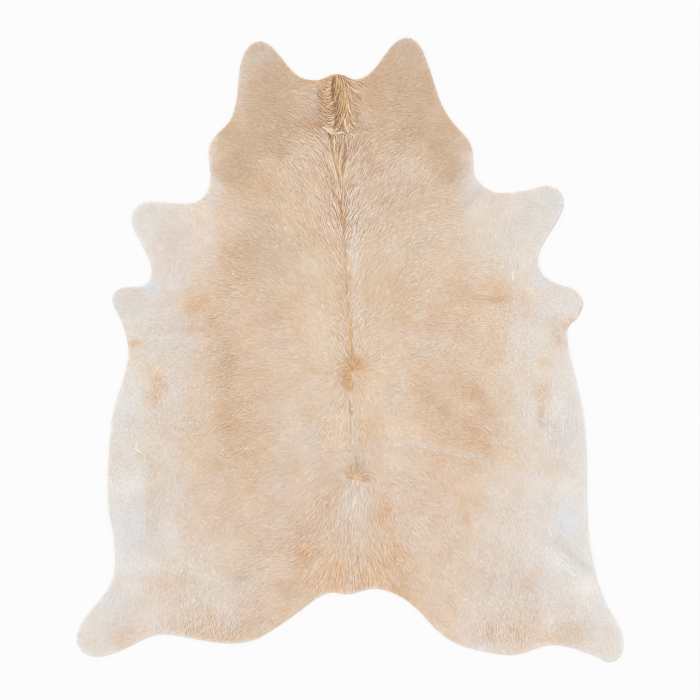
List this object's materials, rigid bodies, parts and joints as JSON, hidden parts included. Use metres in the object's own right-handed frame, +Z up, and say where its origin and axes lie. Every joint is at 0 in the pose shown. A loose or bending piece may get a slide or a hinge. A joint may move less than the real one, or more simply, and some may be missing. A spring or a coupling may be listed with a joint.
{
  "type": "cowhide rug",
  "caption": "Large flat hair-on hide rug with its natural outline: ears, forelegs, hind legs and a hollow where the tail was, in cream and tan.",
  "frame": {"origin": "on the floor, under the middle of the box round the outline", "axes": "+Y towards the head end, +X towards the right-hand side of the picture, +Z up out of the hair side"},
  "size_m": [2.222, 2.54, 0.0114],
  "materials": {
    "hair_on_hide": "short flat-lying hair, cream to tan with paler greyish belly edges, soft sheen, on chrome-tanned leather"
  },
  "bodies": {
    "root": {"hide": "hair_on_hide"}
  },
  "joints": []
}
